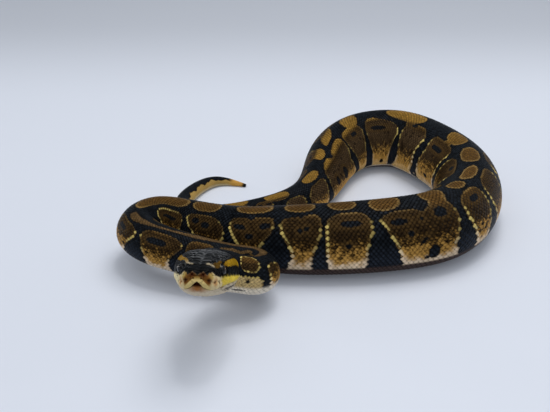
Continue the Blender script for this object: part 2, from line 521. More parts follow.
def body_colour(distance, degrees, luck, fleck, own=None):
    """Colour of a place on the body.

    Luck is an even random number for the whole scale and fleck one for the place. Own tells where the
    scale's middle lies in its blotch, as the pale scales on a blotch's edge are pale all over.
    """
    girth = BODY.radius_at(distance)
    turn = np.abs(degrees)
    flank = blotch_depth(distance, degrees, girth)
    patches = np.maximum(oval_depth(distance, degrees, girth, BACK_SPOTS), flank[0])
    stripes = stripe_depth(distance, degrees, girth)
    depth = np.maximum(patches, stripes)
    marks = oval_depth(distance, degrees, girth, MARKS)
    step = np.clip(girth / FULL_GIRTH, 0.3, 1.0)
    rear = smooth_step(distance, *REAR)
    shaded = smooth_step(distance, *SHADED_START) * fade_out(distance, *SHADED_END) * (degrees > 0.0)

    ground = blend(toned(BLACK, 0.6 + 0.8 * luck), LOW_BLACK, smooth_step(turn, 70.0, 105.0))
    pale_speck = ((luck * 7.31) % 1.0 > 0.965) & (turn > 118.0)
    ground = np.where(pale_speck[:, None], CREAM * 0.5, ground)

    stipple = (0.22 * luck + 0.85 * fleck ** 2) * (1.0 - 0.45 * smooth_step(turn, 42.0, 66.0))
    near_edge = fade_out(depth, 1.0 * step, 4.2 * step)
    brown = blend(blend(BROWN, LIGHT_BROWN, stipple), LIGHT_BROWN * 1.1, near_edge * (0.15 + 0.5 * fleck))
    back = toned(GOLD, 0.45 + 0.25 * luck + 0.95 * fleck)
    back = blend(back, RIM, fade_out(depth, 0.5 * step, 1.1 * step))
    striped = stripes > patches
    back = np.where(striped[:, None], toned(STRIPE, 0.7 + 0.6 * luck), back)
    back = blend(back, toned(REAR_GOLD, 0.5 + 0.3 * luck + 0.6 * fleck), rear * 0.8 * ~striped)
    inside = blend(back, brown, smooth_step(turn, *FLANK))
    russet = toned(RUSSET, 0.55 + 0.45 * luck + 0.5 * fleck)
    inside = blend(inside, russet, rear * 0.8 * smooth_step(turn, 30.0, 50.0))
    gilt = 0.18 + 0.50 * fleck + 0.32 * luck + 0.012 * (turn - 90.0) + 0.25 * rear
    ragged = turn - 12.0 * rear + 20.0 * (fleck - 0.5) + 14.0 * (luck - 0.5)
    inside = blend(inside, blend(RUST, TAN, np.clip(gilt, 0.0, 1.0)), smooth_step(ragged, *GOLDEN))
    dark_scale = ((luck * 5.77) % 1.0 > 0.93) & (turn > 44.0) & (turn < 104.0)
    inside = blend(inside, BROWN * 0.8, dark_scale * 0.8)
    beside = fade_out(depth, 1.2 * step, 3.6 * step) * smooth_step(turn, 92.0, 106.0)
    low = smooth_step(turn + 8.0 * (luck - 0.5) + 8.0 * shaded, *PALE)
    pale = toned(blend(CREAM, REAR_CREAM, rear * 0.85), 0.85 + 0.25 * luck)
    inside = blend(inside, pale, np.maximum(beside, low))

    throat = smooth_step(turn, 66.0, 74.0) * (distance < THROAT_END)
    inside = blend(inside, toned(THROAT, 0.7 + 0.5 * fleck), throat * 0.85)
    halo = smooth_step(marks, -2.4 * step, -0.6 * step)
    inside = blend(inside, LIGHT_BROWN * 1.3, halo * 0.6 * (turn < 80.0))
    rim = fade_out(depth, 0.45 * step, 1.0 * step) * smooth_step(turn, 20.0, 30.0)
    inside = blend(inside, RIM * 0.75, rim * 0.65 * (turn < 100.0))
    inside = blend(inside, BLACK * 1.2, marks > 0.0)
    colour = np.where((depth > 0.0)[:, None], inside, ground)

    own_depth, own_front, own_slant = own or flank
    front = own_front > 0.5
    on_neck = distance < NECK_END
    reach = np.where(front, 1.08, 0.72) * step * (1.0 + np.clip(own_slant / 0.86, 0.0, 0.9))
    dot = (own_depth > 0.0) & (own_depth < reach) & ((turn > 38.0) | on_neck) & (marks < 0.0)
    far = np.where(front, 1.6, 1.15) * step
    dot = dot * smooth_step(depth, far, 0.65 * far)
    strength = np.where(front, 0.92, 0.50) * (0.7 + 0.3 * luck)
    strength = strength * np.where(on_neck, 1.0, smooth_step(turn, 36.0, 46.0))
    strength = strength * (1.0 - 0.75 * smooth_step(distance, *DOTS_END))
    colour = blend(colour, blend(YELLOW, CREAM * 1.1, smooth_step(turn, 72.0, 100.0)), dot * strength)

    lower = BELLY_ANGLE - 15.0 * shaded
    edge = np.maximum(smooth_step(turn, lower, lower + 5.0), shaded) * 0.97 * (distance > 60.0)
    belly = blend(toned(BELLY, 0.85 + 0.2 * luck), BELLY_EDGE, edge)
    neck_under = smooth_step(turn, 98.0, 112.0) * fade_out(distance, NECK_END, 60.0)
    colour = blend(colour, belly, np.maximum(smooth_step(turn, lower - 4.0, lower), neck_under * 0.9))
    bar_distance, bar_angle, bar_size = NECK_BAR
    bar = ((distance - bar_distance) / bar_size) ** 2 + ((degrees - bar_angle) / bar_size) ** 2 < 1.0
    colour = blend(colour, BLACK * 3.0, bar * 0.95)
    return blend(colour, tail_colour(distance, degrees, luck), smooth_step(distance, *TAIL))


def tail_colour(distance, degrees, luck):
    """The tail is black above and golden on its sides, with a wavy edge, and pale under."""
    turn = np.abs(degrees)
    edge = 52.0 + 9.0 * np.sin(distance / 1.9) + 5.0 * np.sin(distance / 0.83 + 1.0)
    colour = blend(toned(BLACK, 0.7 + 0.6 * luck), TAIL_SIDE, turn > edge)
    colour = blend(colour, TAIL_UNDER, smooth_step(turn, 88.0, 112.0))
    colour = blend(colour, TAN, smooth_step(distance, *TAIL_TIP))
    return blend(colour, BLACK * 2.0, smooth_step(distance, *TAIL_POINT))


# Head ------------------------------------------------------------------------------------------

EYE_RADIUS = 2.3
EYE_CENTRE = np.array((7.55, 13.0, 2.6))
# Lip line: distance from the middle of the mouth, height
LIP_LINE = ((0.0, -0.9), (1.3, -1.3), (2.8, -2.1), (5.0, -2.9), (7.0, -3.3), (9.5, -3.6), (13.0, -3.7),
            (18.4, -3.7), (23.4, -3.7), (30.5, -3.9), (39.0, -4.4), (44.5, -4.5), (60.0, -4.0))
LIP_END = 43.5
NOTCH_TOP = 0.5
NOTCH_BASE = -1.75
NOTCH_HALF_WIDTH = 2.3
# Pits and nostrils: sideways, behind the snout, height, radius, depth
PITS = (
    (4.3, 1.3, 0.7, 0.62, 0.75), (6.5, 3.6, -0.3, 0.62, 0.75), (7.9, 6.4, -0.9, 0.5, 0.55),
    (1.5, 0.1, 1.6, 0.34, 0.35),
)
LOWER_PITS = (
    (11.6, 19.0, -6.6, 0.5, 0.35), (12.2, 21.6, -6.8, 0.5, 0.35), (12.7, 24.2, -6.8, 0.45, 0.3),
)
NOSTRIL = (2.1, 1.2, 3.0, 0.6, 0.7)
# Plates of the crown and snout on one side: behind the snout, angle from the middle
CROWN_PLATES = (
    (0.9, 0.0), (1.7, 42.0), (2.9, 15.0), (3.6, 58.0), (5.4, 14.0), (5.9, 42.0), (6.6, 66.0),
    (8.3, 12.0), (8.9, 34.0), (9.3, 56.0), (9.6, 74.0), (11.4, 10.0), (12.4, 28.0), (12.6, 43.0),
    (14.2, 12.0), (15.2, 25.0), (15.8, 39.0), (16.6, 8.0), (17.2, 20.0), (17.8, 32.0), (18.0, 45.0),
    (19.0, 10.0), (19.6, 24.0), (19.8, 38.0), (17.0, 53.0), (19.4, 54.0), (21.2, 6.0), (21.6, 18.0),
    (22.0, 30.0), (22.2, 43.0), (22.0, 56.0),
)
SIDE_PLATES = (
    (3.0, 82.0), (5.0, 80.0), (7.2, 84.0), (9.0, 88.0), (17.4, 66.0), (18.4, 78.0), (17.0, 90.0),
    (20.6, 68.0), (21.0, 84.0), (14.6, 94.0), (19.6, 96.0), (12.0, 96.0), (23.0, 74.0), (23.4, 92.0),
)
UPPER_LIP_PLATES = (4.6, 8.0, 12.0, 16.2, 20.2, 24.2, 28.2, 32.2, 36.0, 39.4, 42.4)
LOWER_LIP_PLATES = (3.2, 6.6, 10.2, 13.8, 17.2, 20.6, 24.0, 27.2, 30.4, 33.6, 36.8, 40.0, 43.0)
EYE_RING_PLATES = 9
PLATE_SEED = 3
PLATES_AT_ONCE = 8000


def lip_height(reach):
    """Height of the lip line, by sideways plus backward distance from the middle of the mouth."""
    return table_at(LIP_LINE, reach)[0]


def head_point(behind, degrees):
    """Sideways, backward and upward place on the smooth head, from the snout."""
    width, crown, throat, narrow = head_profile(behind)
    angle = np.radians(degrees)
    sine, cosine = np.sin(angle), np.cos(angle)
    power = 2.0 / np.where(cosine > 0.0, CROWN_SQUARENESS, THROAT_SQUARENESS)
    x = np.sign(sine) * np.abs(sine) ** power * width * (1.0 - narrow * np.maximum(cosine, 0.0))
    z = np.sign(cosine) * np.abs(cosine) ** power * np.where(cosine > 0.0, crown, throat)
    return np.stack(np.broadcast_arrays(x, behind, z), axis=-1)


def lip_seat(reach, above):
    """A place on the side of the head beside the lips, a given height above their line."""
    height = float(lip_height(np.array([reach]))[0]) + above
    for behind in np.arange(0.0, 36.0, 0.1):
        width, crown, throat, _ = (float(v[0]) for v in head_profile(np.array([behind])))
        tall = crown if height > 0.0 else throat
        share = min(abs(height) / tall, 1.0)
        power = CROWN_SQUARENESS if height > 0.0 else THROAT_SQUARENESS
        x = width * (1.0 - share ** power) ** (1.0 / power)
        if x + behind >= reach:
            return (x, behind, height)
    return (x, behind, height)


def plate_seeds():
    """Centres of the head's plates on both sides, and where the small rings are."""
    half = []
    for behind, angle in CROWN_PLATES + SIDE_PLATES:
        half.append(tuple(head_point(np.array([behind]), np.array([angle]))[0]))
    half += [lip_seat(reach, 1.25) for reach in UPPER_LIP_PLATES]
    half += [lip_seat(reach, -1.2) for reach in LOWER_LIP_PLATES]
    for turn in range(EYE_RING_PLATES):
        angle = 2.0 * math.pi * (turn + 0.5) / EYE_RING_PLATES
        half.append((9.2, EYE_CENTRE[1] + 3.3 * math.cos(angle), EYE_CENTRE[2] + 3.1 * math.sin(angle)))
    random = np.random.default_rng(PLATE_SEED)
    for behind in np.arange(6.5, 34.0, 1.9):
        for angle in np.arange(124.0, 181.0, 9.0):
            shift = random.uniform(-0.4, 0.4)
            half.append(tuple(head_point(np.array([behind + shift]), np.array([angle + 3.0 * shift]))[0]))
    half = np.array(half)
    other = half * (-1.0, 1.0, 1.0) + random.uniform(-0.12, 0.12, half.shape)
    middle = np.array(((0.0, 0.0, 2.2), (0.0, 0.3, -2.6)))
    keep = np.abs(half[:, 0]) > 0.05
    return np.vstack((half, other[keep], middle))


def nearest_plate(points, seeds):
    """Index of the nearest plate and distance to the border with the next."""
    index = np.empty(len(points), dtype=int)
    border = np.empty(len(points))
    for start in range(0, len(points), PLATES_AT_ONCE):
        part = slice(start, start + PLATES_AT_ONCE)
        squares = ((points[part, None, :] - seeds) ** 2).sum(axis=2)
        order = np.argpartition(squares, 1, axis=1)[:, :2]
        first_two = np.take_along_axis(squares, order, axis=1)
        turned = first_two[:, 0] > first_two[:, 1]
        order[turned] = order[turned][:, ::-1]
        first_two[turned] = first_two[turned][:, ::-1]
        apart = np.linalg.norm(seeds[order[:, 0]] - seeds[order[:, 1]], axis=1)
        index[part] = order[:, 0]
        border[part] = (first_two[:, 1] - first_two[:, 0]) / (2.0 * apart + 1e-9)
    return index, border


def notch_share(points):
    """One inside the arched notch in the middle of the upper lip."""
    x, behind, z = points.T
    room = NOTCH_HALF_WIDTH * np.clip((NOTCH_TOP - z) / (NOTCH_TOP - NOTCH_BASE), 0.0, 1.0) ** 0.8
    share = smooth_step(room - np.abs(x), -0.12, 0.22) * (behind < 1.5) * (z < NOTCH_TOP + 0.1)
    return share * smooth_step(z, NOTCH_BASE - 0.2, NOTCH_BASE + 0.1)


def dimples(points, wells):
    """Depth of round wells at each point, mirrored to both sides."""
    total = np.zeros(len(points))
    place = np.column_stack((np.abs(points[:, 0]), points[:, 1], points[:, 2]))
    for *centre, radius, depth in wells:
        away = np.linalg.norm(place - np.array(centre), axis=1)
        total += depth * np.exp(-(away / radius) ** 4)
    return total


def head_relief(points, degrees):
    """How far the skin of the head stands over its smooth shape, in millimetres."""
    x, behind, z = points.T
    reach = np.abs(x) + behind
    over_lip = z - lip_height(reach)
    fade = fade_out(reach, LIP_END - 3.0, LIP_END + 2.0)
    low = np.where(behind < 1.0, 1.0, smooth_step(np.abs(degrees), 60.0, 75.0))
    relief = -0.50 * bell(over_lip, 0.20) * fade * low
    relief += 0.30 * bell(over_lip - 1.5, 1.1) * fade * low
    relief -= 0.22 * smooth_step(-over_lip, 0.0, 0.4) * bell(over_lip, 2.4) * fade
    relief += 0.20 * bell(over_lip + 1.4, 0.9) * fade
    eye_away = np.hypot(behind - EYE_CENTRE[1], z - EYE_CENTRE[2])
    before_eye = smooth_step(EYE_CENTRE[1] - behind, 0.0, 3.0)
    at_side = smooth_step(np.abs(x), 4.5, 6.0)
    relief += 0.28 * bell(eye_away - 2.85, 0.42) * at_side
    relief += 0.45 * bell(eye_away - 3.0, 1.2) * smooth_step(z, 3.6, 5.4) * at_side
    relief -= 0.35 * bell(eye_away - 4.6, 1.5) * before_eye * at_side
    index, border = nearest_plate(points, plate_seeds())
    plates = fade_out(behind, 30.0, 37.0)
    quiet = smooth_step(eye_away, 2.3, 2.7) + (1.0 - at_side)
    quiet = np.clip(quiet, 0.0, 1.0) * (1.0 - bell(over_lip, 0.3) * fade)
    domed = 0.16 * smooth_step(border, 0.0, 0.9) - 0.26 * bell(border, 0.17)
    relief += domed * plates * quiet
    relief -= dimples(points, PITS + LOWER_PITS + (NOSTRIL,))
    relief -= 1.3 * notch_share(points)
    socket = fade_out(eye_away, 1.9, 2.45) * at_side
    return relief * (1.0 - socket) - 1.7 * socket, index, border


# Ovals on the crown: colour, then distance behind the snout, angle, half length, half width, lean
HEAD_PATCHES = (
    ((0.080, 0.041, 0.004), ((9.9, 44.0, 1.7, 16.0, 0.0), (12.6, 47.0, 2.0, 6.0, 0.0))),
    ((0.400, 0.330, 0.220), ((8.4, 17.0, 1.0, 9.0, 0.03), (7.9, 33.0, 0.6, 10.0, 0.0),
                             (11.3, 58.0, 0.7, 5.0, 0.0))),
)
# Bands along the head: colours at the front and rear, then distance, angle and half width in degrees
HEAD_BANDS = (
    ((0.300, 0.245, 0.160), (0.220, 0.118, 0.006), (
        (7.6, -12.0, 3.0), (8.8, -24.0, 7.0), (11.0, -35.0, 5.5), (13.0, -38.0, 6.5), (16.0, -46.0, 8.5),
        (20.0, -56.0, 9.0), (24.0, -63.0, 8.5), (28.0, -67.0, 6.5), (30.0, -69.0, 1.0),
    )),
    ((0.230, 0.120, 0.004), (0.290, 0.165, 0.006), (
        (14.0, 63.0, 2.0), (15.5, 65.0, 6.5), (19.0, 67.0, 10.0), (24.0, 70.5, 10.0), (28.0, 75.5, 10.5),
        (31.0, 78.5, 8.0), (32.5, 80.0, 3.0),
    )),
)
# Dark streaks on the left lower lip, in the same terms with one colour
LIP_STREAKS = (
    ((0.150, 0.070, 0.035), ((8.2, 112.0, 1.0), (10.3, 113.0, 4.5), (12.5, 116.0, 1.0))),
    ((0.040, 0.030, 0.028), ((13.5, 126.0, 1.0), (16.0, 125.0, 3.0), (21.0, 122.0, 3.6),
                             (28.0, 117.0, 3.4), (32.0, 113.0, 1.0))),
    ((0.060, 0.042, 0.036), ((17.0, 133.0, 1.0), (20.0, 132.0, 2.2), (26.0, 127.0, 2.2),
                             (31.0, 122.0, 1.0))),
)
# Spots on the muzzle: sideways, behind the snout, height, radius and strength
STAINS = ((4.3, 1.4, 0.6, 1.15, 1.0), (6.5, 3.7, -0.3, 0.7, 0.9), (2.1, 1.0, 3.0, 1.15, 1.0),
          (7.9, 6.4, -0.9, 0.8, 0.7), (3.2, 1.3, 2.0, 0.8, 0.9), (5.6, 3.0, -0.7, 0.5, 0.6))
GLOWS = ((6.5, 3.7, -0.3, 1.6, 1.0), (4.3, 1.5, 0.6, 1.6, 0.6))
YELLOW_SPOT = ((5.2, 2.2, 2.1, 1.25, 1.0),)
LIP_COLOUR_EDGE = ((0.0, 88.0), (2.0, 80.0), (4.0, 82.0), (6.0, 86.0), (9.0, 88.5), (14.0, 90.0),
                   (20.0, 92.5), (26.0, 96.5), (31.0, 101.0), (36.0, 108.0), (40.0, 112.0))
CHEVRON_TOP = ((0.0, 2.5), (1.2, 2.0), (2.4, 0.9), (4.0, -0.9), (4.9, -2.1), (5.3, -3.6))
MUZZLE_TOP = ((0.0, 2.7), (1.0, 3.3), (2.1, 3.8), (3.0, 3.2), (3.7, 2.6), (4.4, 3.3), (5.3, 3.5),
              (6.3, 2.6), (7.2, 1.7), (8.6, 0.8), (10.0, 0.0))
HEAD_GIRTH = 10.5
ASH = (0.260, 0.265, 0.275)
PLATE_LINE = (0.130, 0.135, 0.140)
FRONT_LIP = np.array((0.70, 0.56, 0.30))
LEFT_LIP, RIGHT_LIP = (0.76, 0.56, 0.070), (0.90, 0.77, 0.44)
MUZZLE, LOW_MUZZLE = np.array((0.150, 0.066, 0.014)), (0.42, 0.30, 0.11)
SPOT_TINT, STAIN_TINT, GLOW_TINT = (0.400, 0.290, 0.080), (0.052, 0.010, 0.002), (0.45, 0.17, 0.03)
CHEVRON, CHEVRON_TIP = np.array((0.62, 0.47, 0.19)), (0.200, 0.115, 0.020)
CHIN = np.array((0.63, 0.53, 0.38))
CHIN_STREAK, CHIN_PEACH = (0.050, 0.030, 0.020), (0.33, 0.135, 0.038)
NOTCH, GROOVE, WELL = (0.040, 0.008, 0.004), (0.045, 0.02, 0.014), (0.025, 0.006, 0.003)


def head_band(behind, degrees, rows):
    """Share of a band that runs along the head at each place."""
    angle, half_width = table_at(rows, behind)
    inside = (behind > rows[0][0]) & (behind < rows[-1][0])
    return smooth_step(half_width - np.abs(degrees - angle), -1.2, 1.6) * inside


def spots(points, wells):
    """Share of round spots at each point."""
    return np.clip(dimples(points, wells), 0.0, 1.0)


def crown_colour(behind, degrees, luck, wave, border):
    """Black crown with ash streaks, brown and pale patches, and the stripe beside each eye."""
    turn = np.abs(degrees)
    worn = behind + 0.25 * wave
    swept = behind - 0.085 * turn + 0.35 * np.sin(degrees * 0.21)
    swept = swept + 0.25 * np.sin(degrees * 0.093 + behind * 0.7)
    streak = np.sin(swept * 1.75 + 0.9) + 0.45 * np.sin(swept * 3.9 + degrees * 0.11 + 2.0 * luck)
    ash = smooth_step(streak, 0.7, 1.25) * fade_out(turn, 46.0, 58.0) * smooth_step(behind, 4.0, 8.5)
    ash = ash * (0.35 + 0.65 * smooth_step(behind, 12.0, 24.0)) * (0.5 + 0.5 * luck)
    ash = ash * (1.0 - 0.6 * smooth_step(turn, 20.0, 40.0))
    colour = blend(toned(BLACK, 0.2 + 0.6 * luck), ASH, ash)
    if border is not None:
        line = bell(border, 0.20) * fade_out(turn, 46.0, 56.0) * smooth_step(behind, 7.5, 9.5)
        line = line * smooth_step(np.sin(behind * 0.9 + degrees * 0.05 + 2.0 * luck), -0.2, 0.8)
        colour = blend(colour, PLATE_LINE, line * 0.6)
    girth = np.full(len(behind), HEAD_GIRTH)
    for tint, patches in HEAD_PATCHES:
        depth = oval_depth(worn, degrees + 1.5 * wave, girth, patches)
        colour = blend(colour, toned(np.array(tint), 0.7 + 0.6 * luck), smooth_step(depth, -0.2, 0.35))
    for fore, rear, rows in HEAD_BANDS:
        first = rows[0][0]
        shade = blend(np.array(fore), rear, smooth_step(behind, first + 2.0, first + 6.0))
        band = head_band(worn, degrees + 1.8 * wave, rows)
        colour = blend(colour, toned(shade, 0.72 + 0.5 * luck), band)
    return colour


def chin_colour(points, degrees, luck, wave):
    """Pale lower lip and chin, with a peach front and dark streaks."""
    x, behind, z = points.T
    turn = np.abs(degrees)
    slant = turn - 104.0 - 2.1 * (behind - 10.0)
    streak = np.sin(slant * 0.55 + 0.9 * wave) + 0.5 * np.sin(behind * 1.3 + 0.2 * turn)
    streak = smooth_step(streak, 0.1, 0.8) * smooth_step(behind, 9.5, 11.5)
    streak = streak * fade_out(behind, 29.0, 33.0) * fade_out(turn, 128.0, 138.0)
    streak = streak * (0.25 + 0.75 * (degrees > 0.0))
    chin = blend(toned(CHIN, 0.92 + 0.10 * luck), CHIN_STREAK, streak * 0.45)
    for tint, rows in LIP_STREAKS:
        chin = blend(chin, tint, 0.92 * head_band(behind, degrees + 1.2 * wave, rows))
    peach = bell(x - 0.1, 3.8) * fade_out(behind, 2.0, 4.0) * smooth_step(z, -5.0, -2.6)
    return blend(chin, CHIN_PEACH, peach)


def head_colour(points, degrees, luck, border=None):
    """Colour of a place on the head: crown, pale upper lip, brown muzzle, chin, then the dark creases.

    Border is the distance to the nearest edge between two plates, where there are plates.
    """
    x, behind, z = points.T
    turn = np.abs(degrees)
    across = np.abs(x)
    reach = across + behind
    over_lip = z - lip_height(reach)
    wave = 0.5 * np.sin(behind * 2.1 + np.sign(x)) + 0.35 * np.sin(behind * 4.7 + z * 3.0)
    colour = crown_colour(behind, degrees, luck, wave, border)

    edge, = table_at(LIP_COLOUR_EDGE, behind)
    lip_tint = np.where((degrees > 0.0)[:, None], LEFT_LIP, RIGHT_LIP)
    lip_tint = toned(blend(FRONT_LIP, lip_tint, smooth_step(behind, 8.5, 11.0)), 0.86 + 0.18 * luck)
    colour = blend(colour, lip_tint, smooth_step(turn + 1.5 * wave - edge, -1.5, 1.5))

    muzzle_top, = table_at(MUZZLE_TOP, across)
    below_top = smooth_step(muzzle_top - z, -0.15, 0.25)
    front = fade_out(across, 6.2, 7.1) * (behind < 8.0) * below_top
    colour = blend(colour, FRONT_LIP, below_top * (behind < 6.5) * (1.0 - front))
    muzzle = toned(blend(MUZZLE, LOW_MUZZLE, smooth_step(-z, 0.2, 1.6)), 0.8 + 0.4 * luck)
    outer = smooth_step(across + 0.6 * behind - 0.4 * z, 5.2, 7.0)
    colour = blend(colour, blend(muzzle, FRONT_LIP * 0.92, outer), front)
    colour = blend(colour, SPOT_TINT, spots(points, YELLOW_SPOT) * 0.95)
    stain = spots(points, STAINS)
    colour = blend(colour, STAIN_TINT, stain * 0.92)
    colour = blend(colour, GLOW_TINT, np.clip(spots(points, GLOWS) - stain, 0.0, 1.0) * 0.75)
    chevron_top, = table_at(CHEVRON_TOP, across)
    chevron = smooth_step(chevron_top - z, -0.1, 0.15) * fade_out(across, 4.9, 5.2) * (behind < 4.0)
    colour = blend(colour, blend(CHEVRON, CHEVRON_TIP, smooth_step(z, 0.7, 2.1)), chevron)

    under = smooth_step(-over_lip, 0.05, 0.35) * ((turn > 60.0) | (behind < 1.0))
    colour = blend(colour, chin_colour(points, degrees, luck, wave), under)
    colour = blend(colour, NOTCH, notch_share(points))
    groove = bell(over_lip, 0.16) * fade_out(reach, LIP_END - 4.0, LIP_END) * (turn > 60.0)
    colour = blend(colour, GROOVE, groove * 0.8)
    wells = tuple((*well[:4], 1.0) for well in (*PITS, *LOWER_PITS, NOSTRIL))
    return blend(colour, WELL, spots(points, wells) * 0.85)


def markings(distance, degrees, luck, fleck, own):
    """Colour of the animal anywhere: the head's rules run into the body's behind the nape."""
    shape = distance.shape
    distance, degrees, luck, fleck = distance.ravel(), degrees.ravel(), luck.ravel(), fleck.ravel()
    own = [values.ravel() for values in own]
    body = body_colour(np.maximum(distance, 0.0), degrees, luck, fleck, own)
    behind = np.minimum(distance + HEAD_LENGTH, HEAD_LENGTH)
    head = head_colour(head_point(behind, degrees), degrees, luck)
    colour = blend(head, body, smooth_step(distance, -2.5, 1.5))
    return colour.reshape((*shape, 3))


# Meshes ----------------------------------------------------------------------------------------

def link(name, data):
    item = bpy.data.objects.new(name, data)
    bpy.context.scene.collection.objects.link(item)
    return item


def finished(name, mesh):
    """An object from a bmesh, with smooth shading."""
    data = bpy.data.meshes.new(name)
    mesh.to_mesh(data)
    mesh.free()
    data.shade_smooth()
    return link(name, data)


def closed_pattern(mesh):
    """Close an open grid underneath and give its points and faces, to be copied many times."""
    bmesh.ops.holes_fill(mesh, edges=[edge for edge in mesh.edges if edge.is_boundary], sides=0)
    bmesh.ops.recalc_face_normals(mesh, faces=mesh.faces)
    mesh.verts.index_update()
    points = np.array([tuple(vertex.co) for vertex in mesh.verts])
    faces = [[vertex.index for vertex in face.verts] for face in mesh.faces]
    mesh.free()
    return points, faces


def angles_round(columns):
    """Angles of the columns of a closed ring, from -180 to 180 degrees."""
    degrees = np.arange(columns) * 360.0 / columns
    return np.where(degrees > 180.0, degrees - 360.0, degrees)


def wrap_grid(mesh, points, colours, first_ring):
    """Lay a grid round the body as a tube: one row of points for each ring, closed round."""
    rings, sides = points.shape[:2]
    colour_layer = mesh.verts.layers.float_color.get("skin_colour")
    ring_layer = mesh.verts.layers.int.get("ring")
    grid = bmesh.ops.create_grid(mesh, x_segments=sides, y_segments=rings - 1, size=1.0)
    for vertex in grid["verts"]:
        column = round((vertex.co.x + 1.0) / 2.0 * sides) % sides
        row = round((vertex.co.y + 1.0) / 2.0 * (rings - 1))
        vertex.co = Vector(points[row, column])
        vertex[colour_layer] = (*colours[row, column], 1.0)
        vertex[ring_layer] = first_ring + row


def rim_edges(mesh, ring):
    """Open edges of one ring."""
    layer = mesh.verts.layers.int.get("ring")
    return [edge for edge in mesh.edges if edge.is_boundary and all(v[layer] == ring for v in edge.verts)]


HEAD_COLUMNS = 256
HEAD_RING_GAP = 0.19
CAP_BULGE = 0.35
BODY_COLUMNS = 72
BODY_RING_GAP = 2.0
FIRST_BODY_RING = 1.2
UNDER_SCALES = 0.45      # brightness of the skin between the scales, over theirs


def head_grid():
    """Rings of the head's skin from the tip of the snout to just behind the nape."""
    behind = np.arange(0.0, HEAD_LENGTH + 0.01, 0.02)
    width, crown, _, _ = head_profile(behind)
    steps = np.hypot(np.diff(behind), np.maximum(np.abs(np.diff(width)), np.abs(np.diff(crown))))
    along = np.concatenate(([0.0], np.cumsum(steps)))
    count = int(along[-1] / HEAD_RING_GAP)
    behind = np.interp(np.linspace(0.0, along[-1], count), along, behind)
    cap = int(width[0] / HEAD_RING_GAP) + 1
    share = np.concatenate((np.linspace(0.06, 1.0, cap, endpoint=False), np.ones(count)))
    behind = np.concatenate((np.zeros(cap), behind))
    ring, turn = np.meshgrid(behind, angles_round(HEAD_COLUMNS), indexing="ij")
    points = head_point(ring, turn)
    points[..., ::2] *= share[:, None, None]
    points[..., 1] -= CAP_BULGE * (1.0 - share[:, None] ** 2)
    return points, turn


def grid_normals(points):
    """Outward directions of a tube of points, ring by ring."""
    down = np.gradient(points, axis=0)
    padded = np.concatenate((points[:, -1:], points, points[:, :1]), axis=1)
    round_body = (padded[:, 2:] - padded[:, :-2]) / 2.0
    normal = np.cross(round_body, down)
    normal /= np.linalg.norm(normal, axis=2)[..., None] + 1e-9
    outward = points - points.mean(axis=1, keepdims=True)
    return normal if (normal * outward).sum() > 0.0 else -normal


def skin_depth(distance):
    """How far the skin lies inside the flesh, by the scales it carries."""
    return COAT_DEPTH * np.clip(BODY.radius_at(distance) / FULL_GIRTH, 0.25, 1.0)


def make_skin():
    """One skin from snout to tail tip, with the head's lips, pits, plates and sockets."""
    mesh = bmesh.new()
    mesh.verts.layers.float_color.new("skin_colour")
    mesh.verts.layers.int.new("ring")
    smooth, turn = head_grid()
    shape = turn.shape
    rings = shape[0]
    flat, turn = smooth.reshape(-1, 3), turn.ravel()
    behind = flat[:, 1]
    relief, plate, border = head_relief(flat, turn)
    sunk = skin_depth(behind - HEAD_LENGTH) * smooth_step(behind, 24.0, 34.0)
    points = smooth + grid_normals(smooth) * (relief - sunk).reshape(shape)[..., None]
    luck = (np.sin(plate * 12.9898) * 43758.5453) % 1.0
    body_part = body_colour(np.zeros(len(flat)), turn, luck, luck)
    colours = blend(head_colour(flat, turn, luck, border), body_part, smooth_step(behind, 37.5, 40.5))
    world = (points - (0.0, HEAD_LENGTH, 0.0)) @ BODY.head.T + NAPE
    wrap_grid(mesh, world * MM, colours.reshape((*shape, 3)), 0)

    distance = np.append(np.arange(FIRST_BODY_RING, BODY.length, BODY_RING_GAP), BODY.length)
    ring, turn = np.meshgrid(distance, angles_round(BODY_COLUMNS), indexing="ij")
    even = np.full(ring.size, 0.5)
    colours = body_colour(ring.ravel(), turn.ravel(), even, even).reshape((*ring.shape, 3))
    wrap_grid(mesh, BODY.place(ring, turn, -skin_depth(ring)) * MM, colours * UNDER_SCALES, rings)

    bmesh.ops.remove_doubles(mesh, verts=mesh.verts, dist=1e-7)
    bmesh.ops.bridge_loops(mesh, edges=rim_edges(mesh, rings - 1) + rim_edges(mesh, rings))
    bmesh.ops.holes_fill(mesh, edges=[edge for edge in mesh.edges if edge.is_boundary], sides=0)
    bmesh.ops.recalc_face_normals(mesh, faces=mesh.faces)
    return finished("skin", mesh)


# Scales ----------------------------------------------------------------------------------------

LOZENGE = 1.35           # 1 is a lozenge with straight sides and 2 a round scale
SCALE_REACH = 0.62       # half length of a scale as a share of the pattern's step
SMALLEST_STEP = 0.35     # step of the pattern on the thinnest body, over that at full girth
FIRST_SCALES = -34.0
HEAD_SCALES = 7.0        # girth whose scales the rear of the head has
ROW_FADE = 6.0           # distance in which a row of scales fades away
HEAD_SPAN = 176.0        # angle from the spine that scales cover on the head
BODY_END = 0.02          # how far the last scale stays from the tail's end
SCALE_SEED = 11
PATCH_HALF = 0.0015      # half a scale's patch in the bake map
SHEEN = np.array((0.014, 0.018, 0.026))
# Where the scales begin behind the snout, by angle: the face has plates instead
COAT_START = ((0.0, 22.0), (45.0, 22.5), (62.0, 23.5), (88.0, 24.0), (98.0, 31.0), (124.0, 32.5),
              (134.0, 33.0), (180.0, 33.5))


